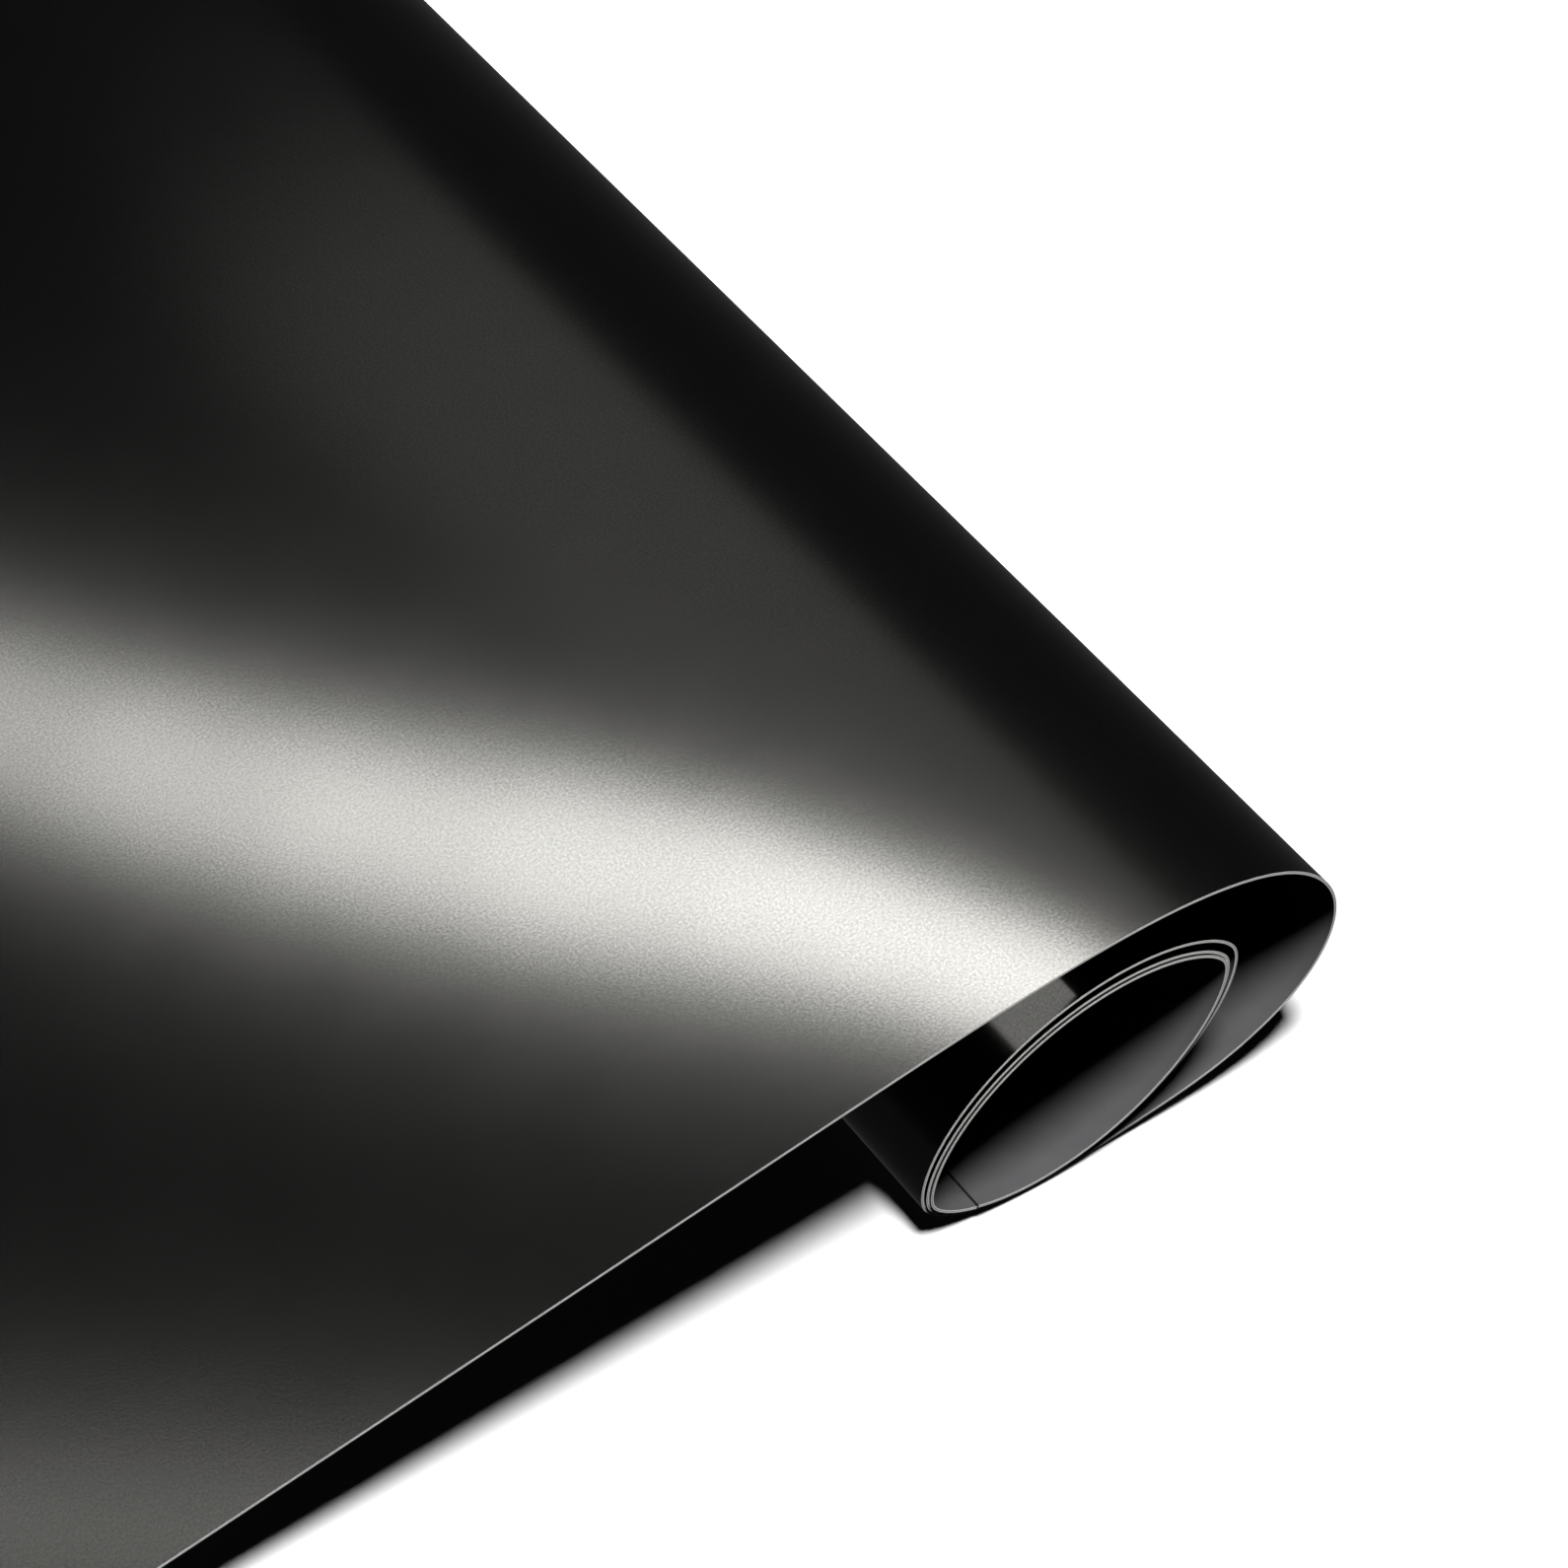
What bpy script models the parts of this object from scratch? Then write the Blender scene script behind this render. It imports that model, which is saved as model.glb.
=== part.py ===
"""Roll of sign vinyl: a coreless coil of three wound turns whose outer end stands loose in a tall
loop and runs down in a long tail to lie flat on the table.

The sheet is a laminate of three layers: the face film outside, its adhesive, and the release liner
inside. Seen from the near end of the roll the sheet winds anticlockwise from the inside out:
free inner end at the bottom, three turns, then the loop to the right, over the top and down left.

+Y runs along the roll's axis away from the near end, +Z is up, and the origin is the centre of the
bounding box at the table. A flexible sheet is one piece, so each place where it bends open or lifts
is a hinge between two short strips of it, and the strips of one layer share its name.
"""
import math

import bmesh
import bpy
import numpy as np
from mathutils import Vector

MM = 0.001
DEGREE = math.pi / 180

# The cut sheet and its layers.
SHEET_WIDTH = 305 * MM
FILM_THICKNESS = 0.12 * MM
ADHESIVE_THICKNESS = 0.03 * MM
LINER_THICKNESS = 0.17 * MM
LAYER_GAP = 0.01 * MM

# The wound coil, an oval that leans to the right. Its radius is that of the outer turn.
COIL_RADIUS = 16.6 * MM
COIL_OVAL = 4.4 * MM
COIL_TILT = 23 * DEGREE
TURNS = 3
TURN_GAP = 0.06 * MM
OUTER_TURN_SLACK = 0.9 * MM
INNER_END_PAST_BOTTOM = 18 * DEGREE
TELESCOPE_PER_TURN = 0.25 * MM

# The loop: how sharply the sheet bends at each distance along it past the coil's foot, both in coil
# radii, so the loop always clears the coil. Between two rows the bend changes evenly.
LOOP_BEND = (
    (0.00, 0.00),
    (0.12, 0.00),
    (0.30, 0.70),
    (0.62, 0.00),
    (1.00, 0.04),
    (1.45, 0.44),
    (1.95, 0.56),
    (2.30, 0.98),
    (2.65, 1.30),
    (3.00, 1.73),
    (3.50, 1.13),
    (4.20, 0.39),
    (5.40, 0.08),
    (7.20, 0.00),
)
# The tail runs straight down from the loop, flattens over one length and lies flat for another.
TAIL_FLATTENING = 20 * MM
FLAT_BEFORE_LIFT = 4.4 * MM
FILM_LIFT_LENGTH = 32 * MM

# The hinges between strips.
LOOP_HINGES = 8
STRIP_GAP = 0.04 * MM
INNER_END_LENGTH = 20 * MM
FILM_LIFT_STRIPS = 2

# How finely the sheet is faceted.
FACET_TURN = 6 * DEGREE
FINE_TURN = 0.5 * DEGREE
FINE_STEP = 0.1 * MM
SHORTEST_FACET = 0.25 * MM
ROUNDING = 1e-9

SHEET_THICKNESS = FILM_THICKNESS + ADHESIVE_THICKNESS + LINER_THICKNESS + 2 * LAYER_GAP
TURN_PITCH = SHEET_THICKNESS + TURN_GAP
FULL_TURN = 2 * math.pi

# Each layer lies between two depths below the film's face.
ADHESIVE_DEPTH = FILM_THICKNESS + LAYER_GAP
LINER_DEPTH = ADHESIVE_DEPTH + ADHESIVE_THICKNESS + LAYER_GAP
LAYERS = {
    "film": (0.0, FILM_THICKNESS),
    "adhesive": (ADHESIVE_DEPTH, ADHESIVE_DEPTH + ADHESIVE_THICKNESS),
    "liner": (LINER_DEPTH, LINER_DEPTH + LINER_THICKNESS),
}

FINISHES = {
    "film": {"color": (0.025, 0.025, 0.027), "roughness": 0.32, "metallic": 0.85},
    "adhesive": {"color": (0.30, 0.30, 0.28), "roughness": 0.45, "metallic": 0.0},
    "liner": {"color": (0.02, 0.02, 0.022), "roughness": 0.30, "metallic": 0.0},
}


def clear_scene():
    for item in list(bpy.data.objects):
        bpy.data.objects.remove(item, do_unlink=True)


def running_length(across, up):
    """Length along a line of points, starting at nothing."""
    steps = np.hypot(np.diff(across), np.diff(up))
    return np.concatenate(([0.0], np.cumsum(steps)))


def slack(winding):
    """How far the outer turn stands off the one inside it: most at the upper right."""
    part = np.clip(1 + winding / FULL_TURN, 0, 1)
    highest = (1 / 3) ** 2 * (2 / 3) ** 4
    return OUTER_TURN_SLACK * part ** 2 * (1 - part) ** 4 / highest


def coil_line():
    """Film face of the wound turns: across, up and heading, from the inner end to the foot.

    The coil is drawn by how far its tangent line stands from its centre at each heading, so that a
    layer or a turn inside it is the same line moved in by its depth. Winding is 0 at the foot.
    """
    first = -TURNS * FULL_TURN - INNER_END_PAST_BOTTOM
    count = 1 + math.ceil(-first / FINE_TURN)
    winding = np.linspace(first, 0.0, count)

    def reach(turned):
        oval = COIL_OVAL * np.cos(2 * (turned - math.pi / 2 - COIL_TILT))
        return COIL_RADIUS + oval + TURN_PITCH * turned / FULL_TURN + slack(turned)

    nudge = 1e-4
    radius = reach(winding)
    drift = (reach(winding + nudge) - reach(winding - nudge)) / (2 * nudge)
    facing = winding - math.pi / 2
    across = radius * np.cos(facing) - drift * np.sin(facing)
    up = radius * np.sin(facing) + drift * np.cos(facing)
    return across - across[-1], up - up[-1], winding


def bent_line(lengths, bends, start, heading):
    """A line that starts at a point and heading and bends as the rows say."""
    count = 1 + math.ceil(lengths[-1] / FINE_STEP)
    along = np.linspace(0.0, lengths[-1], count)
    step = np.diff(along)
    bend = np.interp(along, lengths, bends)
    turned = np.concatenate(([0.0], np.cumsum((bend[1:] + bend[:-1]) / 2 * step)))
    turned = heading + turned
    middle = (turned[1:] + turned[:-1]) / 2
    across = start[0] + np.concatenate(([0.0], np.cumsum(np.cos(middle) * step)))
    up = start[1] + np.concatenate(([0.0], np.cumsum(np.sin(middle) * step)))
    return across, up, turned


def sheet_line():
    """Film face of the whole sheet as fine points: length, across, up and heading."""
    coil = coil_line()
    rows = np.array(LOOP_BEND)
    loop = bent_line(rows[:, 0] * COIL_RADIUS, rows[:, 1] / COIL_RADIUS, (0.0, 0.0), 0.0)
    slope = loop[2][-1] - math.pi

    # The flattening bend turns the slope back evenly, from nothing and to nothing.
    peak = -2 * slope / TAIL_FLATTENING
    flattening = ((0.0, TAIL_FLATTENING / 2, TAIL_FLATTENING), (0.0, peak, 0.0))
    trial = bent_line(*flattening, (0.0, 0.0), loop[2][-1])
    lies_at = SHEET_THICKNESS
    drop = loop[1][-1] + trial[1][-1] - lies_at
    straight = drop / math.sin(slope)
    fall = bent_line((0.0, straight), (0.0, 0.0), (loop[0][-1], loop[1][-1]), loop[2][-1])
    ease = bent_line(*flattening, (fall[0][-1], fall[1][-1]), fall[2][-1])

    parts = [coil, loop, fall, ease]
    across, up, heading = (
        np.concatenate([parts[0][i]] + [part[i][1:] for part in parts[1:]]) for i in range(3))
    length = running_length(across, up)
    flat = FLAT_BEFORE_LIFT + FILM_LIFT_LENGTH
    length = np.append(length, length[-1] + flat)
    across = np.append(across, across[-1] - flat)
    up = np.append(up, up[-1])
    heading = np.append(heading, math.pi)
    return length, across, up, heading, running_length(*coil[:2])[-1], slope


# The film face of the whole sheet, where the coil's foot is along it, and how steep the tail is.
LENGTH, ACROSS, UP, HEADING, FOOT, TAIL_SLOPE = sheet_line()
SHEET_LENGTH = LENGTH[-1]


def point(along, depth):
    """The point of the sheet at a length along it and a depth below its film face."""
    heading = np.interp(along, LENGTH, HEADING)
    across = np.interp(along, LENGTH, ACROSS) - depth * math.sin(heading)
    up = np.interp(along, LENGTH, UP) + depth * math.cos(heading)
    return across, up


def near_edge(along):
    """How far the near edge of the wound turns has slid towards the viewer."""
    heading = np.interp(min(along, FOOT), LENGTH, HEADING)
    return TELESCOPE_PER_TURN * heading / FULL_TURN


def length_at_heading(heading):
    """Where the sheet first reaches a heading, counted from 0 at the coil's foot."""
    passed = np.nonzero(HEADING >= heading)[0][0]
    share = (heading - HEADING[passed - 1]) / (HEADING[passed] - HEADING[passed - 1])
    return LENGTH[passed - 1] + share * (LENGTH[passed] - LENGTH[passed - 1])


def stations(start, end):
    """Lengths from start to end, with one wherever the heading passes a whole facet angle."""
    level = HEADING / FACET_TURN
    found = [start]
    for i in range(len(level) - 1):
        low, high = sorted((level[i], level[i + 1]))
        whole = math.ceil(low - ROUNDING)
        if high - low < ROUNDING or whole > high + ROUNDING:
            continue
        share = (whole - level[i]) / (level[i + 1] - level[i])
        place = LENGTH[i] + share * (LENGTH[i + 1] - LENGTH[i])
        if found[-1] + SHORTEST_FACET < place < end - SHORTEST_FACET:
            found.append(place)
    found.append(end)
    return found


def offsets():
    """Moves the drawn section so that the whole object's bounding box is centred at the table."""
    ends = [point(along, depth)[0] for along in LENGTH for depth in (0.0, SHEET_THICKNESS)]
    middle_across = (min(ends) + max(ends)) / 2
    middle_along = (SHEET_WIDTH + near_edge(0.0)) / 2
    return Vector((-middle_across, -middle_along, 0.0))


ORIGIN = offsets()


def body_empty(name, parent, along, depth):
    """An empty on a hinge's axis, across the middle of the sheet's width."""
    empty = bpy.data.objects.new(name, None)
    empty.empty_display_size = 5 * MM
    bpy.context.collection.objects.link(empty)
    across, up = point(along, depth)
    place = Vector((across, SHEET_WIDTH / 2, up)) + ORIGIN
    empty["place"] = tuple(place)
    if parent is not None:
        empty.parent = parent
        place = place - Vector(parent["place"])
    empty.location = place
    return empty


def layer_material(layer):
    finish = FINISHES[layer]
    material = bpy.data.materials.get(layer) or bpy.data.materials.new(layer)
    material.use_nodes = True
    shader = material.node_tree.nodes["Principled BSDF"]
    shader.inputs["Base Color"].default_value = (*finish["color"], 1.0)
    shader.inputs["Roughness"].default_value = finish["roughness"]
    shader.inputs["Metallic"].default_value = finish["metallic"]
    return material


def strip(name, layer, start, end, body):
    """One strip of one layer, from one length along the sheet to another, on a body."""
    outer, inner = LAYERS[layer]
    base = Vector(body["place"]) if body is not None else Vector((0.0, 0.0, 0.0))
    mesh = bmesh.new()
    rings = []
    for along in stations(start, end):
        near = near_edge(along)
        corners = ((outer, near), (outer, near + SHEET_WIDTH), (inner, near + SHEET_WIDTH), (inner, near))
        ring = []
        for depth, across_width in corners:
            across, up = point(along, depth)
            ring.append(mesh.verts.new(Vector((across, across_width, up)) + ORIGIN - base))
        rings.append(ring)
    for ring, following in zip(rings, rings[1:]):
        for i in range(4):
            j = (i + 1) % 4
            mesh.faces.new((ring[i], following[i], following[j], ring[j]))
    mesh.faces.new(rings[0])
    mesh.faces.new(rings[-1][::-1])
    bmesh.ops.recalc_face_normals(mesh, faces=mesh.faces)
    data = bpy.data.meshes.new(name)
    mesh.to_mesh(data)
    mesh.free()
    data.materials.append(layer_material(layer))
    piece = bpy.data.objects.new(name, data)
    bpy.context.collection.objects.link(piece)
    piece.parent = body
    return piece


def laminate(place, start, end, body, layers=("film", "adhesive", "liner")):
    """The strips of the laminate at one place of the sheet, a hair short of their neighbours."""
    first = start + STRIP_GAP / 2 if start > 0 else start
    last = end - STRIP_GAP / 2 if end < SHEET_LENGTH else end
    for layer in layers:
        strip(f"{layer}_{place}", layer, first, last, body)


def loop_hinge_lengths():
    """Hinges of the loop, each with the same share of its whole turn, half of it before the first."""
    share = (math.pi + TAIL_SLOPE) / LOOP_HINGES
    return [length_at_heading((i + 0.5) * share) for i in range(LOOP_HINGES)]


def build():
    clear_scene()
    inner_hinge = INNER_END_LENGTH
    hinges = loop_hinge_lengths()
    lift_from = SHEET_LENGTH - FILM_LIFT_LENGTH
    settle = lift_from - FLAT_BEFORE_LIFT - TAIL_FLATTENING / 2

    # The wound turns stay on the table. Each turn ends where it comes round to the bottom.
    turn_ends = [length_at_heading((i + 1 - TURNS) * FULL_TURN) for i in range(TURNS - 1)] + [hinges[0]]
    turn_starts = [inner_hinge] + turn_ends[:-1]
    for i, (start, end) in enumerate(zip(turn_starts, turn_ends)):
        laminate(f"turn_{i + 1}", start, end, None)

    # The free inner end bends into the hollow on its liner's face.
    inner = body_empty("inner_end_axis", None, inner_hinge, SHEET_THICKNESS)
    laminate("inner_end", 0.0, inner_hinge, inner)

    # The loop's strips open one after another on the film's face.
    parent = None
    for i, (start, end) in enumerate(zip(hinges, hinges[1:])):
        parent = body_empty(f"loop_axis_{i + 1}", parent, start, 0.0)
        laminate(f"loop_{i + 1}", start, end, parent)
    tail = body_empty(f"loop_axis_{LOOP_HINGES}", parent, hinges[-1], 0.0)
    laminate("tail", hinges[-1], settle, tail)

    # The end that lies flat: its hinge is on the liner's face, because it bends the other way.
    flat = body_empty("flat_end_axis", tail, settle, SHEET_THICKNESS)
    laminate("flat_end", settle, lift_from, flat, ("film", "adhesive"))
    laminate("flat_end", settle, SHEET_LENGTH, flat, ("liner",))

    # The film and its adhesive lift off the liner at the sheet's outer end.
    lifted = flat
    strip_length = FILM_LIFT_LENGTH / FILM_LIFT_STRIPS
    for i in range(FILM_LIFT_STRIPS):
        start = lift_from + i * strip_length
        lifted = body_empty(f"film_lift_axis_{i + 1}", lifted, start, 0.0)
        laminate(f"lift_{i + 1}", start, start + strip_length, lifted, ("film", "adhesive"))


build()
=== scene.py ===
"""Roll of sign vinyl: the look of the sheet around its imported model.

The sheet is drawn as one line across its section, which is wound, looped and laid by formula, and
three layers are bent along that line: the face film, its adhesive and the release liner. A layer
is cut into pieces only where the sheet can bend, one piece for each place.
"""
import math

import bpy
import numpy as np
from mathutils import Matrix, Vector


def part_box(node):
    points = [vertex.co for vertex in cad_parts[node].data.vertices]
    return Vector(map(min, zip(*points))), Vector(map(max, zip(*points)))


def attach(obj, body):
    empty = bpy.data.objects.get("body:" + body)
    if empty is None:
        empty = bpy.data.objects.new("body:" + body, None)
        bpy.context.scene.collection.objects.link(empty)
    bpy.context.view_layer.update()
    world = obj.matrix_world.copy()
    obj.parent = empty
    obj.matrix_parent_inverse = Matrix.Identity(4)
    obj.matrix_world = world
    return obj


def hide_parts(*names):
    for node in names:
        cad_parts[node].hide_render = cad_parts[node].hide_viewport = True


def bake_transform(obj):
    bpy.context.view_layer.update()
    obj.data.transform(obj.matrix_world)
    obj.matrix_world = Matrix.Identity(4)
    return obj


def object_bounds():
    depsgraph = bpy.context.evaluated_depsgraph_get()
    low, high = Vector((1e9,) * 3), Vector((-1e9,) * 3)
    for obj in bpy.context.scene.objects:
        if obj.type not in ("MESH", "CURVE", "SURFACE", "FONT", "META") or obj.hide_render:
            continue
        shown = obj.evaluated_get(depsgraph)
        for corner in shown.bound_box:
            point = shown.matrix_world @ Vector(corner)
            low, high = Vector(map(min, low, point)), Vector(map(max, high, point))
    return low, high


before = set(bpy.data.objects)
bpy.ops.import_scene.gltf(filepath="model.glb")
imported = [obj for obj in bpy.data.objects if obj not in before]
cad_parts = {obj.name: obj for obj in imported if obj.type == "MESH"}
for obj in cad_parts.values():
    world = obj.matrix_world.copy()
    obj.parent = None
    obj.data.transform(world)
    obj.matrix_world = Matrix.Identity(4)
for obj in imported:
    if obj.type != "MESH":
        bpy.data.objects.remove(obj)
CAD_LOW, CAD_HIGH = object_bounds()

MM = 0.001
DEGREE = math.pi / 180
FULL_TURN = 2 * math.pi

# The laminate: thicknesses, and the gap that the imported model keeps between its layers.
FILM_THICKNESS = 0.12 * MM
ADHESIVE_THICKNESS = 0.03 * MM
LINER_THICKNESS = 0.17 * MM
LAYER_GAP = 0.01 * MM
SHEET_THICKNESS = FILM_THICKNESS + ADHESIVE_THICKNESS + LINER_THICKNESS + 2 * LAYER_GAP

# The wound coil, an oval that leans to the right.
COIL_RADIUS = 16.6 * MM
COIL_OVAL = 4.4 * MM
COIL_TILT = 23 * DEGREE
TURNS = 3
TURN_PITCH = SHEET_THICKNESS + 0.06 * MM
OUTER_TURN_SLACK = 0.9 * MM
INNER_END_PAST_BOTTOM = 18 * DEGREE
TELESCOPE_PER_TURN = 0.25 * MM

# How sharply the loop bends at each distance past the coil's foot, both in coil radii.
LOOP_BEND = (
    (0.00, 0.00),
    (0.12, 0.00),
    (0.30, 0.70),
    (0.62, 0.00),
    (1.00, 0.04),
    (1.45, 0.44),
    (1.95, 0.56),
    (2.30, 0.98),
    (2.65, 1.30),
    (3.00, 1.73),
    (3.50, 1.13),
    (4.20, 0.39),
    (5.40, 0.08),
    (7.20, 0.00),
)
TAIL_FLATTENING = 20 * MM
FLAT_BEFORE_LIFT = 4.4 * MM
FILM_LIFT_LENGTH = 32 * MM
INNER_END_LENGTH = 20 * MM
LOOP_HINGES = 8

# How finely the section line and the layers along it are drawn.
LINE_TURN = 0.5 * DEGREE
LINE_STEP = 0.1 * MM
LAYER_STEP = 0.3 * MM
WIDTH_PARTS = 6

# The cut edges: how much the corners of a layer are rounded, and how far the adhesive stands back.
CORNER_RADIUS = 0.012 * MM
CORNER_STEPS = 2
ADHESIVE_SET_BACK = 0.05 * MM

LOW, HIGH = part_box("film_tail")
SHEET_WIDTH = HIGH.y - LOW.y
NEAR_EDGE = LOW.y


# ---------------------------------------------------------------- the section line


def running_length(across, up):
    """Length along a line of points, starting at nothing."""
    steps = np.hypot(np.diff(across), np.diff(up))
    return np.concatenate(([0.0], np.cumsum(steps)))


def slack(winding):
    """How far the outer turn stands off the one inside it: most at the upper right."""
    part = np.clip(1 + winding / FULL_TURN, 0, 1)
    highest = (1 / 3) ** 2 * (2 / 3) ** 4
    return OUTER_TURN_SLACK * part ** 2 * (1 - part) ** 4 / highest


def coil_line():
    """Film face of the wound turns: across, up and heading, from the inner end to the foot."""
    first = -TURNS * FULL_TURN - INNER_END_PAST_BOTTOM
    winding = np.linspace(first, 0.0, 1 + math.ceil(-first / LINE_TURN))

    def reach(turned):
        oval = COIL_OVAL * np.cos(2 * (turned - math.pi / 2 - COIL_TILT))
        return COIL_RADIUS + oval + TURN_PITCH * turned / FULL_TURN + slack(turned)

    nudge = 1e-4
    radius = reach(winding)
    drift = (reach(winding + nudge) - reach(winding - nudge)) / (2 * nudge)
    facing = winding - math.pi / 2
    across = radius * np.cos(facing) - drift * np.sin(facing)
    up = radius * np.sin(facing) + drift * np.cos(facing)
    return across - across[-1], up - up[-1], winding


def bent_line(lengths, bends, start, heading):
    """A line that starts at a point and heading and bends as the rows say."""
    along = np.linspace(0.0, lengths[-1], 1 + math.ceil(lengths[-1] / LINE_STEP))
    step = np.diff(along)
    bend = np.interp(along, lengths, bends)
    turned = heading + np.concatenate(([0.0], np.cumsum((bend[1:] + bend[:-1]) / 2 * step)))
    middle = (turned[1:] + turned[:-1]) / 2
    across = start[0] + np.concatenate(([0.0], np.cumsum(np.cos(middle) * step)))
    up = start[1] + np.concatenate(([0.0], np.cumsum(np.sin(middle) * step)))
    return across, up, turned


def sheet_line():
    """Film face of the whole sheet: length, across, up, heading, the foot's length, tail slope."""
    coil = coil_line()
    rows = np.array(LOOP_BEND)
    loop = bent_line(rows[:, 0] * COIL_RADIUS, rows[:, 1] / COIL_RADIUS, (0.0, 0.0), 0.0)
    slope = loop[2][-1] - math.pi
    peak = -2 * slope / TAIL_FLATTENING
    flattening = ((0.0, TAIL_FLATTENING / 2, TAIL_FLATTENING), (0.0, peak, 0.0))
    trial = bent_line(*flattening, (0.0, 0.0), loop[2][-1])
    straight = (loop[1][-1] + trial[1][-1] - SHEET_THICKNESS) / math.sin(slope)
    fall = bent_line((0.0, straight), (0.0, 0.0), (loop[0][-1], loop[1][-1]), loop[2][-1])
    ease = bent_line(*flattening, (fall[0][-1], fall[1][-1]), fall[2][-1])
    flat = bent_line((0.0, FLAT_BEFORE_LIFT + FILM_LIFT_LENGTH), (0.0, 0.0),
                     (ease[0][-1], ease[1][-1]), math.pi)
    parts = [coil, loop, fall, ease, flat]
    across, up, heading = (
        np.concatenate([parts[0][i]] + [part[i][1:] for part in parts[1:]]) for i in range(3))
    return running_length(across, up), across, up, heading, running_length(*coil[:2])[-1], slope


LENGTH, ACROSS, UP, HEADING, FOOT, TAIL_SLOPE = sheet_line()
SHEET_LENGTH = LENGTH[-1]
# The loop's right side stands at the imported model's highest corner.
ACROSS = ACROSS + CAD_HIGH.x - ACROSS.max()


def place(along, depth=0.0):
    """The point of the sheet's near end at a length along it and a depth below its film face."""
    heading = np.interp(along, LENGTH, HEADING)
    across = np.interp(along, LENGTH, ACROSS) - depth * math.sin(heading)
    up = np.interp(along, LENGTH, UP) + depth * math.cos(heading)
    return Vector((across, NEAR_EDGE, up))


def length_at_heading(heading):
    """Where the sheet first reaches a heading, counted from 0 at the coil's foot."""
    passed = np.nonzero(HEADING >= heading)[0][0]
    share = (heading - HEADING[passed - 1]) / (HEADING[passed] - HEADING[passed - 1])
    return LENGTH[passed - 1] + share * (LENGTH[passed] - LENGTH[passed - 1])


# ---------------------------------------------------------------- node helpers


def add_node(tree, kind, settings=None, **inputs):
    """A node with its settings, and with its inputs set by name to values or joined to sockets."""
    node = tree.nodes.new(kind)
    for name, value in (settings or {}).items():
        setattr(node, name, value)
    for name, value in inputs.items():
        put(tree, node.inputs[name.replace("_", " ")], value)
    return node


def put(tree, socket, value):
    """Sets an input to a value, or joins it to another node's output."""
    if isinstance(value, bpy.types.NodeSocket):
        tree.links.new(value, socket)
    else:
        socket.default_value = value


def math_node(tree, operation, *values):
    """A Math node, and its output."""
    node = tree.nodes.new("ShaderNodeMath")
    node.operation = operation
    for socket, value in zip(node.inputs, values):
        put(tree, socket, value)
    return node.outputs[0]


def new_group(name, kind, inputs, outputs):
    """An empty node group with named sockets, its input node and its output node."""
    tree = bpy.data.node_groups.new(name, kind)
    for label, socket, start in inputs:
        made = tree.interface.new_socket(label, in_out="INPUT", socket_type=socket)
        if start is not None:
            made.default_value = start
    for label, socket in outputs:
        tree.interface.new_socket(label, in_out="OUTPUT", socket_type=socket)
    return tree, tree.nodes.new("NodeGroupInput"), tree.nodes.new("NodeGroupOutput")


# ---------------------------------------------------------------- curves that the layers follow


def poly_curve(name, points, closed=False):
    """A curve of straight stretches through points, only there to be followed."""
    data = bpy.data.curves.new(name, "CURVE")
    data.dimensions = "3D"
    spline = data.splines.new("POLY")
    spline.points.add(len(points) - 1)
    rows = np.ones((len(points), 4))
    rows[:, :3] = points
    spline.points.foreach_set("co", rows.ravel())
    spline.use_cyclic_u = closed
    curve = bpy.data.objects.new(name, data)
    bpy.context.scene.collection.objects.link(curve)
    return curve


def section_curve():
    """The sheet's line at its near end. The wound turns have slid a little towards the viewer."""
    near = NEAR_EDGE + TELESCOPE_PER_TURN * np.minimum(HEADING, 0.0) / FULL_TURN
    return poly_curve("section_curve", np.stack((ACROSS, near, UP), axis=1))


def outline_curve(name, outer, inner, set_back):
    """A layer's outline: width across the sheet and depth below the film face, corners rounded."""
    low = set_back + CORNER_RADIUS
    high = SHEET_WIDTH - low
    top, bottom = outer + CORNER_RADIUS, inner - CORNER_RADIUS
    points = []
    for width, depth, quarter in ((low, top, 2), (high, top, 3), (high, bottom, 0), (low, bottom, 1)):
        for step in range(CORNER_STEPS + 1):
            angle = (quarter + step / CORNER_STEPS) * math.pi / 2
            points.append((width + CORNER_RADIUS * math.cos(angle),
                           depth + CORNER_RADIUS * math.sin(angle), 0.0))
        if quarter in (2, 0):
            start, end = (low, high) if quarter == 2 else (high, low)
            face = outer if quarter == 2 else inner
            shares = np.arange(1, WIDTH_PARTS) / WIDTH_PARTS
            points += [(start + share * (end - start), face, 0.0) for share in shares]
    return poly_curve(name, points, closed=True)


# ---------------------------------------------------------------- bending a layer along its line


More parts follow.
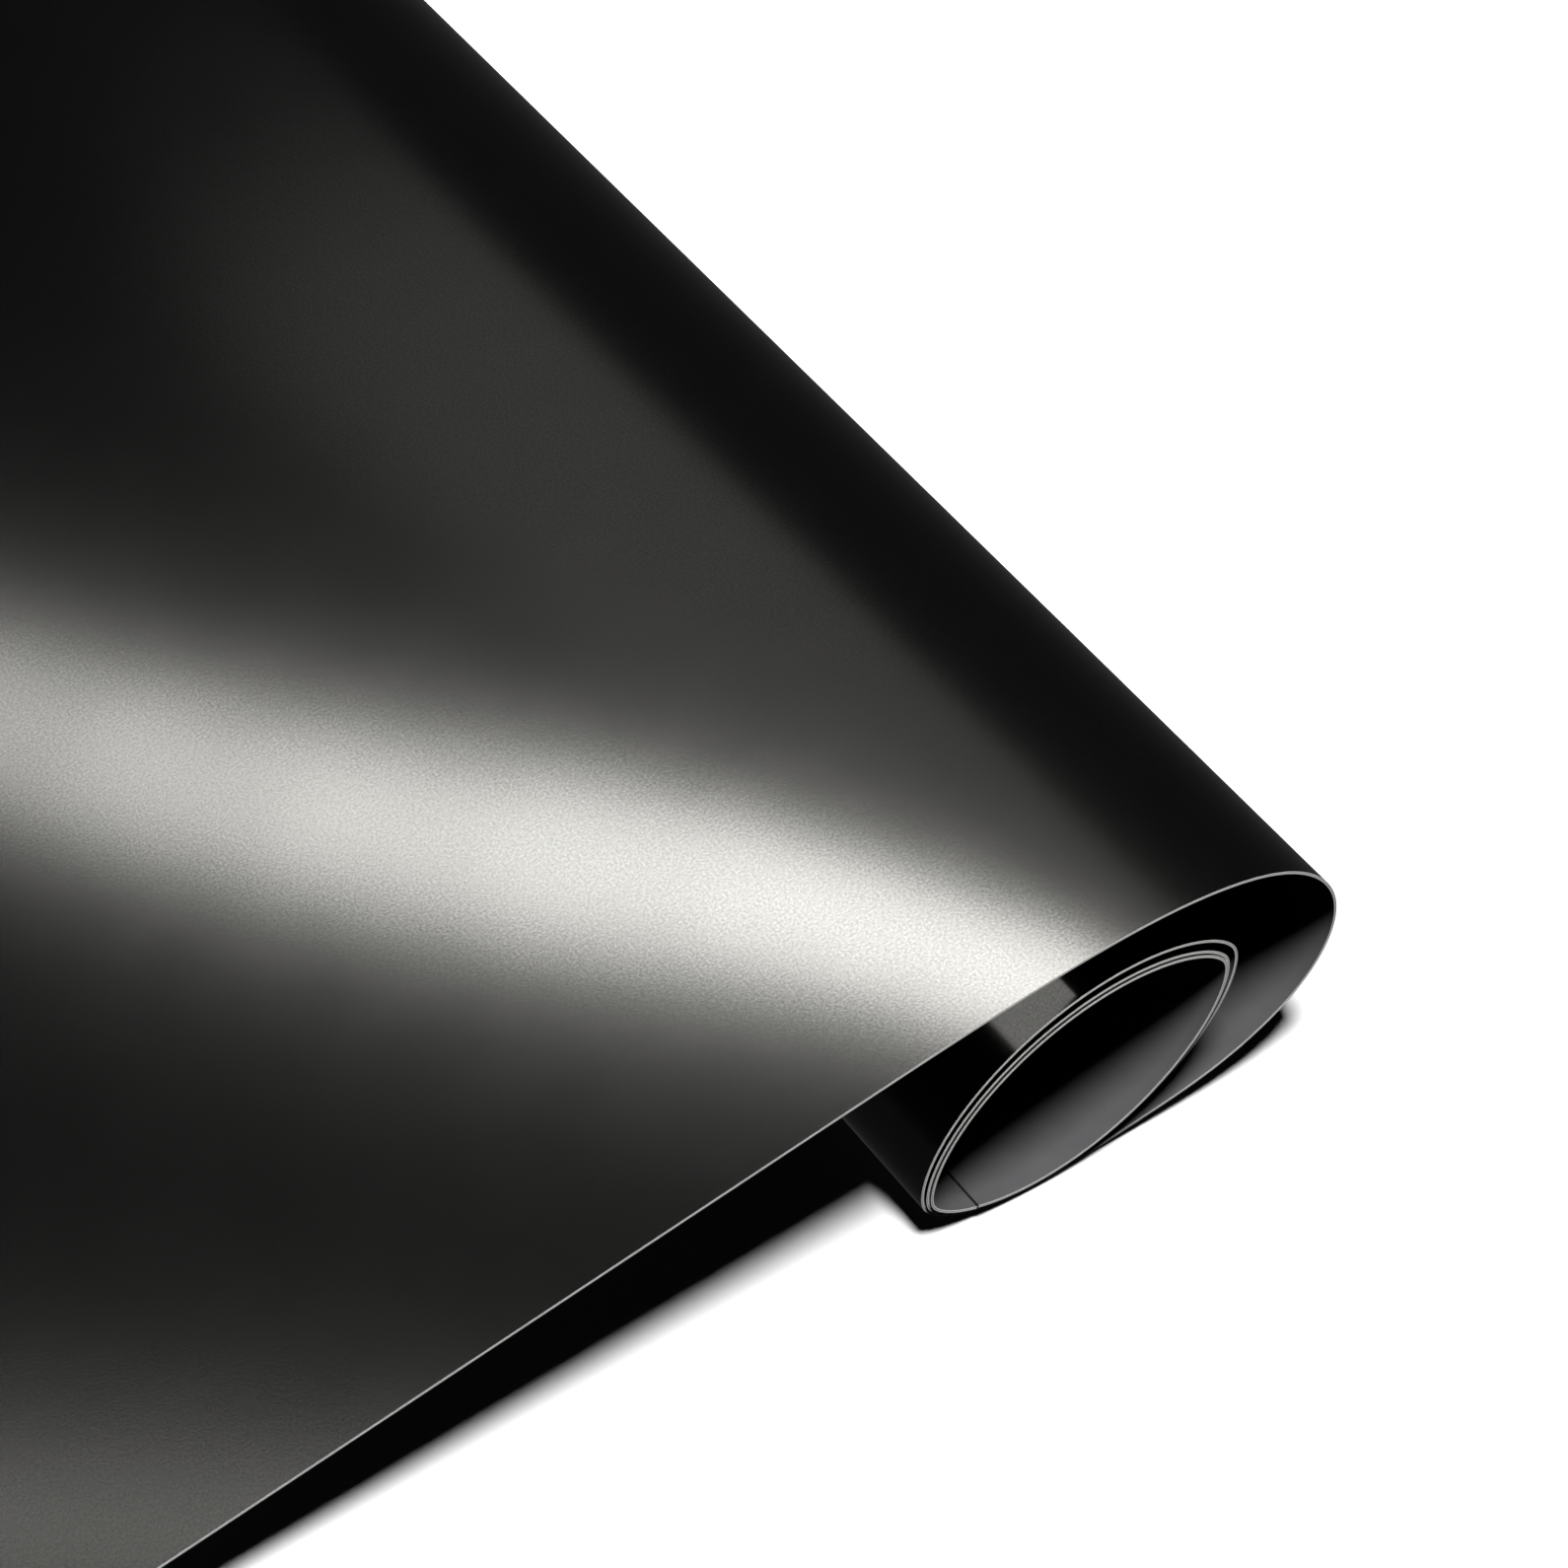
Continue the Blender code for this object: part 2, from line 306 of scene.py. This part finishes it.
def bend_layer_tree():
    """Geometry nodes: a flat bar of the layer, bent along the section curve from start to end."""
    tree, given, result = new_group(
        "bend_layer", "GeometryNodeTree",
        (("Geometry", "NodeSocketGeometry", None), ("Section", "NodeSocketObject", None),
         ("Outline", "NodeSocketObject", None), ("Start", "NodeSocketFloat", 0.0),
         ("End", "NodeSocketFloat", 0.1), ("Step", "NodeSocketFloat", LAYER_STEP),
         ("Edge width", "NodeSocketFloat", CORNER_RADIUS),
         ("Sheet width", "NodeSocketFloat", SHEET_WIDTH),
         ("Face finish", "NodeSocketMaterial", None), ("Edge finish", "NodeSocketMaterial", None)),
        (("Geometry", "NodeSocketGeometry"),))
    given = given.outputs

    # The flat bar: its length along X, and the outline with its width and depth.
    ends = [add_node(tree, "ShaderNodeCombineXYZ", X=given[name]).outputs[0] for name in ("Start", "End")]
    line = add_node(tree, "GeometryNodeCurvePrimitiveLine", Start=ends[0], End=ends[1])
    line = add_node(tree, "GeometryNodeResampleCurve", {"mode": "LENGTH"},
                    Curve=line.outputs[0], Length=given["Step"])
    here = add_node(tree, "GeometryNodeInputPosition").outputs[0]
    rail = tree.nodes.new("GeometryNodeCaptureAttribute")
    rail.capture_items.new("VECTOR", "Along")
    put(tree, rail.inputs["Geometry"], line.outputs[0])
    put(tree, rail.inputs["Along"], here)
    shape = add_node(tree, "GeometryNodeObjectInfo", Object=given["Outline"])
    rim = tree.nodes.new("GeometryNodeCaptureAttribute")
    rim.capture_items.new("VECTOR", "Across")
    put(tree, rim.inputs["Geometry"], shape.outputs["Geometry"])
    put(tree, rim.inputs["Across"], here)
    bar = add_node(tree, "GeometryNodeCurveToMesh", Curve=rail.outputs["Geometry"],
                   Profile_Curve=rim.outputs["Geometry"], Fill_Caps=True)
    along = add_node(tree, "ShaderNodeSeparateXYZ", Vector=rail.outputs["Along"]).outputs["X"]
    rim_place = add_node(tree, "ShaderNodeSeparateXYZ", Vector=rim.outputs["Across"]).outputs
    width, depth = rim_place["X"], rim_place["Y"]

    # Each point moves to the curve at its length, then down by its depth and across by its width.
    section = add_node(tree, "GeometryNodeObjectInfo", Object=given["Section"])
    sample = add_node(tree, "GeometryNodeSampleCurve", {"mode": "LENGTH"},
                      Curves=section.outputs["Geometry"], Length=along)
    heading = add_node(tree, "ShaderNodeVectorMath", {"operation": "NORMALIZE"},
                       Vector=sample.outputs["Tangent"]).outputs[0]
    ahead = add_node(tree, "ShaderNodeSeparateXYZ", Vector=heading).outputs
    down = add_node(tree, "ShaderNodeCombineXYZ",
                    X=math_node(tree, "MULTIPLY", math_node(tree, "MULTIPLY", ahead["Z"], -1.0), depth),
                    Y=width, Z=math_node(tree, "MULTIPLY", ahead["X"], depth)).outputs[0]
    moved = add_node(tree, "ShaderNodeVectorMath", {"operation": "ADD"}).outputs[0]
    put(tree, moved.node.inputs[0], sample.outputs["Position"])
    put(tree, moved.node.inputs[1], down)
    bent = add_node(tree, "GeometryNodeSetPosition", Geometry=bar.outputs[0], Position=moved)

    # Where each point lies on the flat sheet stays with it, for the finishes.
    flat = add_node(tree, "ShaderNodeCombineXYZ", X=along, Y=width, Z=depth).outputs[0]
    noted = add_node(tree, "GeometryNodeStoreNamedAttribute",
                     {"data_type": "FLOAT_VECTOR", "domain": "POINT"},
                     Geometry=bent.outputs[0], Name="flat_place")
    put(tree, noted.inputs["Value"], flat)

    # Faces on the rounded rims are cut edges.
    near = math_node(tree, "LESS_THAN", width, given["Edge width"])
    far = math_node(tree, "GREATER_THAN", width,
                    math_node(tree, "SUBTRACT", given["Sheet width"], given["Edge width"]))
    cut = math_node(tree, "MAXIMUM", near, far)
    noted_cut = add_node(tree, "GeometryNodeStoreNamedAttribute",
                         {"data_type": "FLOAT", "domain": "FACE"},
                         Geometry=noted.outputs[0], Name="cut_edge")
    put(tree, noted_cut.inputs["Value"], cut)
    finished = add_node(tree, "GeometryNodeRealizeInstances", Geometry=noted_cut.outputs[0])
    finished = add_node(tree, "GeometryNodeSetMaterial", Geometry=finished.outputs[0],
                        Material=given["Face finish"])
    edge = add_node(tree, "GeometryNodeInputNamedAttribute", {"data_type": "FLOAT"}, Name="cut_edge")
    finished = add_node(tree, "GeometryNodeSetMaterial", Geometry=finished.outputs[0],
                        Selection=math_node(tree, "GREATER_THAN", edge.outputs[0], 0.5),
                        Material=given["Edge finish"])
    tree.links.new(finished.outputs[0], result.inputs["Geometry"])
    return tree


def bent_layer(name, tree, section, outline, start, end, face, edge, set_back):
    """One piece of a layer, as a plain mesh."""
    holder = bpy.data.objects.new(name, bpy.data.meshes.new(name))
    bpy.context.scene.collection.objects.link(holder)
    modifier = holder.modifiers.new("bend", "NODES")
    modifier.node_group = tree
    values = {"Section": section, "Outline": outline, "Start": start, "End": end,
              "Step": LAYER_STEP, "Edge width": set_back + CORNER_RADIUS,
              "Face finish": face, "Edge finish": edge}
    for item in tree.interface.items_tree:
        if item.name in values and item.in_out == "INPUT":
            modifier[item.identifier] = values[item.name]
    depsgraph = bpy.context.evaluated_depsgraph_get()
    mesh = bpy.data.meshes.new_from_object(holder.evaluated_get(depsgraph))
    bpy.data.objects.remove(holder)
    mesh.name = name
    piece = bpy.data.objects.new(name, mesh)
    bpy.context.scene.collection.objects.link(piece)
    return piece


def smooth_normals(mesh):
    """Sets the normals of the film's or liner's faces from the section line itself, so that two
    pieces that meet shade as one sheet. Cut edges keep their own flat facets."""
    places = np.empty(len(mesh.vertices) * 3, np.float32)
    mesh.attributes["flat_place"].data.foreach_get("vector", places)
    places = places.reshape(-1, 3)
    corner = np.empty(len(mesh.loops), np.int32)
    mesh.loops.foreach_get("vertex_index", corner)
    sides = np.empty(len(mesh.polygons), np.int32)
    mesh.polygons.foreach_get("loop_total", sides)
    facet = np.empty(len(mesh.polygons) * 3, np.float32)
    mesh.polygons.foreach_get("normal", facet)
    facet = facet.reshape(-1, 3).repeat(sides, axis=0)
    cut = np.empty(len(mesh.polygons), np.float32)
    mesh.attributes["cut_edge"].data.foreach_get("value", cut)
    cut = cut.repeat(sides) > 0.5
    heading = np.interp(places[corner, 0], LENGTH, HEADING)
    outward = np.stack((np.sin(heading), np.zeros(len(heading)), -np.cos(heading)), axis=1)
    side = np.sign((outward * facet).sum(axis=1))[:, None]
    normals = np.where(cut[:, None], facet, outward * side)
    mesh.normals_split_custom_set(normals.tolist())


# ---------------------------------------------------------------- finishes


def grain_group():
    """Shader group: fine grain height, slow mottling and sparse dust, fixed to the flat sheet."""
    tree, given, result = new_group(
        "sheet_grain", "ShaderNodeTree",
        (("Place", "NodeSocketVector", None), ("Grain size", "NodeSocketFloat", 0.2 * MM),
         ("Mottle size", "NodeSocketFloat", 12 * MM), ("Dust spacing", "NodeSocketFloat", 14 * MM),
         ("Speck size", "NodeSocketFloat", 0.15 * MM)),
        (("Height", "NodeSocketFloat"), ("Mottle", "NodeSocketFloat"), ("Dust", "NodeSocketFloat")))
    given = given.outputs
    place_on = given["Place"]

    def noise_of(size, detail):
        scale = math_node(tree, "DIVIDE", 1.0, size)
        return add_node(tree, "ShaderNodeTexNoise", Vector=place_on, Scale=scale,
                        Detail=detail, Roughness=0.6).outputs["Fac"]

    put(tree, result.inputs["Height"], noise_of(given["Grain size"], 2.0))
    put(tree, result.inputs["Mottle"], noise_of(given["Mottle size"], 3.0))

    # A speck sits in only some of the cells that the spacing makes.
    cells = add_node(tree, "ShaderNodeTexVoronoi", Vector=place_on,
                     Scale=math_node(tree, "DIVIDE", 1.0, given["Dust spacing"]), Randomness=1.0)
    away = math_node(tree, "MULTIPLY", cells.outputs["Distance"], given["Dust spacing"])
    pick = add_node(tree, "ShaderNodeSeparateColor", Color=cells.outputs["Color"]).outputs[0]
    radius = math_node(tree, "MULTIPLY", given["Speck size"],
                       math_node(tree, "MAXIMUM", math_node(tree, "SUBTRACT", pick, 0.55), 0.0))
    put(tree, result.inputs["Dust"], math_node(tree, "LESS_THAN", away, radius))
    return tree


def new_material(name, grain, grain_values, **shader_values):
    """A material with a Principled shader and the grain group, joined to the flat sheet's places."""
    material = bpy.data.materials.new(name)
    material.use_nodes = True
    tree = material.node_tree
    shader = tree.nodes["Principled BSDF"]
    for socket, value in shader_values.items():
        shader.inputs[socket.replace("_", " ")].default_value = value
    flat = add_node(tree, "ShaderNodeAttribute", {"attribute_name": "flat_place"})
    group = add_node(tree, "ShaderNodeGroup", {"node_tree": grain}, Place=flat.outputs["Vector"],
                     **grain_values)
    return material, tree, shader, group.outputs, flat.outputs["Vector"]


def between(tree, share, low, high):
    """A value that runs from low to high as share runs from 0 to 1."""
    return add_node(tree, "ShaderNodeMapRange", Value=share, To_Min=low, To_Max=high).outputs[0]


def colour_between(tree, share, low, high):
    """A colour that runs from low to high as share runs from 0 to 1."""
    mix = add_node(tree, "ShaderNodeMix", {"data_type": "RGBA"})
    put(tree, mix.inputs[0], share)
    put(tree, mix.inputs[6], (*low, 1.0) if isinstance(low, tuple) else low)
    put(tree, mix.inputs[7], (*high, 1.0) if isinstance(high, tuple) else high)
    return mix.outputs[2]


def add_bump(tree, shader, height, distance, strength):
    bump = add_node(tree, "ShaderNodeBump", Height=height, Distance=distance, Strength=strength)
    put(tree, shader.inputs["Normal"], bump.outputs[0])


def film_finish(grain):
    """Satin black with a fine metallic grain and a few specks of dust."""
    material, tree, shader, out, _ = new_material(
        "satin_black_metallic_film", grain,
        {"Grain_size": 0.3 * MM, "Mottle_size": 11 * MM}, Metallic=1.0)
    dark = colour_between(tree, out["Mottle"], (0.038, 0.038, 0.036), (0.046, 0.045, 0.043))
    light = colour_between(tree, out["Mottle"], (0.055, 0.055, 0.052), (0.064, 0.063, 0.060))
    fleck = add_node(tree, "ShaderNodeMapRange", Value=out["Height"], From_Min=0.35, From_Max=0.65)
    body = colour_between(tree, fleck.outputs[0], dark, light)
    put(tree, shader.inputs["Base Color"], colour_between(tree, out["Dust"], body, (0.35, 0.33, 0.28)))
    put(tree, shader.inputs["Roughness"], between(tree, out["Mottle"], 0.18, 0.195))
    add_bump(tree, shader, out["Height"], 0.01 * MM, 0.35)
    return material


def liner_finish(grain):
    """Black coated release paper: smooth, with a faint fibre mottle."""
    material, tree, shader, out, _ = new_material(
        "black_coated_liner", grain,
        {"Grain_size": 0.5 * MM, "Mottle_size": 6 * MM}, Metallic=0.0, IOR=1.5)
    body = colour_between(tree, out["Mottle"], (0.055, 0.055, 0.057), (0.080, 0.080, 0.082))
    put(tree, shader.inputs["Base Color"], colour_between(tree, out["Dust"], body, (0.3, 0.3, 0.3)))
    put(tree, shader.inputs["Roughness"], between(tree, out["Mottle"], 0.26, 0.34))
    add_bump(tree, shader, out["Height"], 0.01 * MM, 0.2)
    return material


def adhesive_finish(grain):
    """Clear grey adhesive with its diamond net of air-release channels."""
    material, tree, shader, out, flat = new_material(
        "grey_adhesive", grain, {"Grain_size": 0.3 * MM, "Mottle_size": 5 * MM}, IOR=1.48)
    parts = add_node(tree, "ShaderNodeSeparateXYZ", Vector=flat).outputs
    lines = []
    for operation in ("ADD", "SUBTRACT"):
        slant = math_node(tree, operation, parts["X"], parts["Y"])
        lines.append(math_node(tree, "PINGPONG", slant, 0.9 * MM))
    nearest = math_node(tree, "MINIMUM", *lines)
    channel = add_node(tree, "ShaderNodeMapRange", Value=nearest, From_Max=0.12 * MM).outputs[0]
    body = colour_between(tree, out["Mottle"], (0.24, 0.24, 0.225), (0.32, 0.32, 0.30))
    put(tree, shader.inputs["Base Color"], colour_between(tree, channel, (0.17, 0.17, 0.16), body))
    put(tree, shader.inputs["Roughness"], between(tree, channel, 0.5, 0.3))
    add_bump(tree, shader, channel, 0.01 * MM, 0.6)
    return material


def cut_finish(name, grain, low, high, roughness):
    """A knife-cut edge, a little uneven in tone and gloss."""
    material, tree, shader, out, _ = new_material(
        name, grain, {"Grain_size": 0.1 * MM, "Mottle_size": 2 * MM}, Metallic=0.0, IOR=1.5)
    # For the film's and the liner's edges, the light tones passed in here are painted highlight.
    put(tree, shader.inputs["Base Color"], colour_between(tree, out["Mottle"], low, high))
    put(tree, shader.inputs["Roughness"], between(tree, out["Height"], roughness, roughness + 0.2))
    add_bump(tree, shader, out["Height"], 0.01 * MM, 0.3)
    return material


GRAIN = grain_group()
FACES = {"film": film_finish(GRAIN), "adhesive": adhesive_finish(GRAIN), "liner": liner_finish(GRAIN)}
# The film's cut edge is coloured light grey as a painted highlight, so that it shows as a bright line.
# The liner's edge is its white paper core, made lighter still as painted highlight.
EDGES = {
    "film": cut_finish("film_cut_edge_painted_highlight", GRAIN, (0.66, 0.66, 0.64), (0.82, 0.82, 0.80), 0.35),
    "adhesive": cut_finish("adhesive_cut_edge", GRAIN, (0.10, 0.10, 0.10), (0.14, 0.14, 0.13), 0.5),
    "liner": cut_finish("liner_white_cut_edge_with_painted_highlight", GRAIN, (0.70, 0.70, 0.69), (0.88, 0.88, 0.86), 0.6),
}


# ---------------------------------------------------------------- the sheet's pieces

ADHESIVE_DEPTH = FILM_THICKNESS + LAYER_GAP
LINER_DEPTH = ADHESIVE_DEPTH + ADHESIVE_THICKNESS + LAYER_GAP
LAYERS = {
    "film": (0.0, FILM_THICKNESS, 0.0),
    "adhesive": (ADHESIVE_DEPTH, ADHESIVE_DEPTH + ADHESIVE_THICKNESS, ADHESIVE_SET_BACK),
    "liner": (LINER_DEPTH, LINER_DEPTH + LINER_THICKNESS, 0.0),
}

# How far from each place where the sheet bends, along the sheet, a piece's end and its listed bend span
# reach.
INNER_END_BEND = 6 * MM
LOOP_START_BEND = 6 * MM
TAIL_START_BEND = 12 * MM
FLATTENING_BEND = 9 * MM
LIFT_BEND_BEFORE = 4 * MM
LIFT_BEND_AFTER = 8 * MM


def loop_hinges():
    """Where the loop bends open: eight places with the same share of its whole turn."""
    share = (math.pi + TAIL_SLOPE) / LOOP_HINGES
    return [length_at_heading((i + 0.5) * share) for i in range(LOOP_HINGES)]


def sheet_pieces():
    """Each piece's name, start, end, the bodies it lies between, where it bends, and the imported
    nodes it stands for. Both film and adhesive lift off the liner's outer end."""
    hinges = loop_hinges()
    middles = [(low + high) / 2 for low, high in zip(hinges, hinges[1:])]
    lift = SHEET_LENGTH - FILM_LIFT_LENGTH
    lift_tip = lift + FILM_LIFT_LENGTH / 2
    settle = lift - FLAT_BEFORE_LIFT - TAIL_FLATTENING / 2
    inner_stop = INNER_END_LENGTH + INNER_END_BEND
    coil_stop = hinges[0] - LOOP_START_BEND
    tail_start = hinges[-1] + TAIL_START_BEND
    tail_stop = settle - FLATTENING_BEND
    flat_stop = lift - LIFT_BEND_BEFORE
    lift_stop = lift + LIFT_BEND_AFTER

    rows = [("inner_end", 0.0, inner_stop, ("root", "inner_end"),
             (inner_stop, INNER_END_LENGTH - INNER_END_BEND), ["inner_end"]),
            ("coil", inner_stop, coil_stop, ("root",), None, ["turn_1", "turn_2", "turn_3"])]
    bounds = [coil_stop] + middles + [tail_start]
    bodies = ["root"] + [f"loop_{i}" for i in range(1, LOOP_HINGES)] + ["tail"]
    for i, (start, end) in enumerate(zip(bounds, bounds[1:])):
        nodes = [f"loop_{i + 1}"] if i + 1 < LOOP_HINGES else []
        rows.append((f"loop_{i + 1}", start, end, (bodies[i], bodies[i + 1]), (start, end), nodes))
    rows.append(("tail", tail_start, tail_stop, ("tail",), None, ["tail"]))
    flat_bend = (tail_stop, settle + FLATTENING_BEND)
    liner_rows = rows + [("flat_end", tail_stop, SHEET_LENGTH, ("tail", "flat_end"), flat_bend,
                          ["flat_end"])]
    film_rows = rows + [
        ("flat_end", tail_stop, flat_stop, ("tail", "flat_end"), flat_bend, ["flat_end"]),
        ("lift_1", flat_stop, lift_stop, ("flat_end", "film_lift_1"), (flat_stop, lift_stop),
         ["lift_1"]),
        ("lift_2", lift_stop, SHEET_LENGTH, ("film_lift_1", "film_lift_2"),
         (lift_stop, 2 * lift_tip - lift_stop), ["lift_2"])]
    return {"film": film_rows, "adhesive": film_rows, "liner": liner_rows}


SHORTEST_SHEET = 10 * MM


def build_sheet():
    tree = bend_layer_tree()
    section = section_curve()
    beneath = {"film": "adhesive", "adhesive": "liner"}
    pieces = sheet_pieces()
    for layer in ("liner", "adhesive", "film"):
        outer, inner, set_back = LAYERS[layer]
        outline = outline_curve(f"{layer}_outline", outer, inner, set_back)
        for place_name, start, end, bodies, bend, nodes in pieces[layer]:
            name = f"{layer}_{place_name}_piece"
            piece = bent_layer(name, tree, section, outline, start, end,
                               FACES[layer], EDGES[layer], set_back)
            smooth_normals(piece.data)
            if bend is None:
                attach(piece, bodies[0])
            else:
                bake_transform(piece)
            if nodes:
                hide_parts(*(f"{layer}_{node}" for node in nodes))
            if end - start >= SHORTEST_SHEET:
                under = beneath.get(layer)
                rests = [f"{under}_{place_name}_piece"] if under else []
                if rests and rests[0] not in bpy.data.objects:
                    rests = [f"{under}_flat_end_piece"]
        bpy.data.objects.remove(outline)
    bpy.data.objects.remove(section)


build_sheet()


# ---------------------------------------------------------------- camera, lights and floor

# The camera looks down past the near end. Its place is given from the coil's foot at the near end.
CAMERA_AZIMUTH = 33.5 * DEGREE
CAMERA_ELEVATION = 45.1 * DEGREE
CAMERA_DISTANCE = 520 * MM
FOOT_RIGHT_OF_VIEW = 25.31 * MM
FOOT_BELOW_VIEW = 42.82 * MM
LENS = 113.2
SENSOR = 36.0


def set_camera():
    a, e = CAMERA_AZIMUTH, CAMERA_ELEVATION
    right = Vector((math.cos(a), -math.sin(a), 0.0))
    ahead = Vector((math.sin(a) * math.cos(e), math.cos(a) * math.cos(e), -math.sin(e)))
    up = right.cross(ahead)
    data = bpy.data.cameras.new("camera")
    data.lens = LENS
    data.sensor_width = SENSOR
    camera = bpy.data.objects.new("camera", data)
    bpy.context.scene.collection.objects.link(camera)
    axes = Matrix((right, up, -ahead)).transposed()
    camera.matrix_world = axes.to_4x4()
    camera.location = (place(FOOT) - right * FOOT_RIGHT_OF_VIEW + up * FOOT_BELOW_VIEW
                       - ahead * CAMERA_DISTANCE)
    bpy.context.scene.camera = camera


def softbox(name, centre, turn, size, radiance):
    """A flat rectangular light that faces down and only shows in the gloss of the sheet."""
    data = bpy.data.lights.new(name, "AREA")
    data.shape = "RECTANGLE"
    data.size, data.size_y = size
    data.energy = radiance * 4 * size[0] * size[1]
    light = bpy.data.objects.new(name, data)
    bpy.context.scene.collection.objects.link(light)
    light.location = centre
    light.rotation_euler = (0.0, 0.0, turn * DEGREE)
    light.visible_camera = False
    light.visible_diffuse = False


# The strip light, above the sheet: its two ends, how far it bows aside, and how it dims.
STRIP_NEAR_END = (0.13, -0.13)
STRIP_FAR_END = (-0.01, 0.09)
STRIP_BOW = 0.01
STRIP_HEIGHT = 0.12
STRIP_WIDTH = 0.022
STRIP_LENGTHS = 8
STRIP_BRIGHTNESS = 17.0
STRIP_EVEN_SHARE = 0.35
STRIP_FALL = 20.0


def set_lights():
    """A bowed strip light made of even lengths, which dims towards its far end, two weak cards
    beside it, and a glint in two parts low down between the tail and the coil."""
    near = Vector(STRIP_NEAR_END)
    reach = Vector(STRIP_FAR_END) - near
    aside = reach.normalized().orthogonal()
    shares = [step / STRIP_LENGTHS for step in range(STRIP_LENGTHS + 1)]
    ends = [near + share * reach + STRIP_BOW * math.sin(math.pi * share) * aside for share in shares]
    for step, (start, end) in enumerate(zip(ends, ends[1:])):
        share = (step + 0.5) / STRIP_LENGTHS
        turn = math.degrees(math.atan2(start.y - end.y, start.x - end.x))
        radiance = STRIP_BRIGHTNESS - STRIP_FALL * max(share - STRIP_EVEN_SHARE, 0.0)
        centre = (start + end) / 2
        softbox(f"strip_{step + 1}", (centre.x, centre.y, STRIP_HEIGHT), turn,
                ((end - start).length, STRIP_WIDTH), radiance)
    softbox("wide_card", (0.28, -0.04, 0.45), -80.0, (0.95, 0.22), 0.5)
    softbox("left_card", (-0.05, 0.0, 0.23), -45.0, (0.16, 0.02), 3.5)
    softbox("glint_wide", (0.081, -0.1465, 0.0285), 0.0, (0.011, 0.008), 2.0)
    softbox("glint_core", (0.083, -0.1475, 0.0285), 0.0, (0.004, 0.006), 7.0)


ROOM_LIGHT_STRENGTH = 6.4
ROOM_LIGHT_SPREAD = 16 * DEGREE
ROOM_LIGHT_FROM_FRONT = 12 * DEGREE
ROOM_LIGHT_FROM_LEFT = 2 * DEGREE


def set_sun():
    """The light of the room: it lights the floor and the cut edges, and stays out of the gloss."""
    data = bpy.data.lights.new("room_light", "SUN")
    data.energy = ROOM_LIGHT_STRENGTH
    data.angle = ROOM_LIGHT_SPREAD
    sun = bpy.data.objects.new("room_light", data)
    bpy.context.scene.collection.objects.link(sun)
    sun.rotation_euler = (ROOM_LIGHT_FROM_FRONT, -ROOM_LIGHT_FROM_LEFT, 0.0)
    sun.visible_glossy = False


ROOM_IN_GLOSS = (0.060, 0.060, 0.064)


def set_world():
    """White behind everything for the camera, a dark room in the gloss, and no light of its own."""
    world = bpy.data.worlds.new("room")
    bpy.context.scene.world = world
    world.use_nodes = True
    tree = world.node_tree
    tree.nodes.clear()
    path = add_node(tree, "ShaderNodeLightPath").outputs
    colour = colour_between(tree, path["Is Glossy Ray"], (0.0, 0.0, 0.0), ROOM_IN_GLOSS)
    colour = colour_between(tree, path["Is Camera Ray"], colour, (1.0, 1.0, 1.0))
    background = add_node(tree, "ShaderNodeBackground", Color=colour, Strength=1.0)
    out = tree.nodes.new("ShaderNodeOutputWorld")
    tree.links.new(background.outputs[0], out.inputs[0])


FLOOR_REACH = 3.0
FLOOR_DROP = 0.02 * MM


def set_floor():
    data = bpy.data.meshes.new("floor")
    r = FLOOR_REACH
    data.from_pydata([(-r, -r, -FLOOR_DROP), (r, -r, -FLOOR_DROP), (r, r, -FLOOR_DROP),
                      (-r, r, -FLOOR_DROP)], [], [(0, 1, 2, 3)])
    material = bpy.data.materials.new("pale_floor")
    material.use_nodes = True
    shader = material.node_tree.nodes["Principled BSDF"]
    shader.inputs["Base Color"].default_value = (0.85, 0.85, 0.85, 1.0)
    shader.inputs["Roughness"].default_value = 0.9
    shader.inputs["Specular IOR Level"].default_value = 0.0
    data.materials.append(material)
    floor = bpy.data.objects.new("floor", data)
    bpy.context.scene.collection.objects.link(floor)
    floor.visible_glossy = False
    floor.visible_diffuse = False


set_camera()
set_lights()
set_sun()
set_world()
set_floor()
bpy.context.scene.view_settings.view_transform = "Standard"
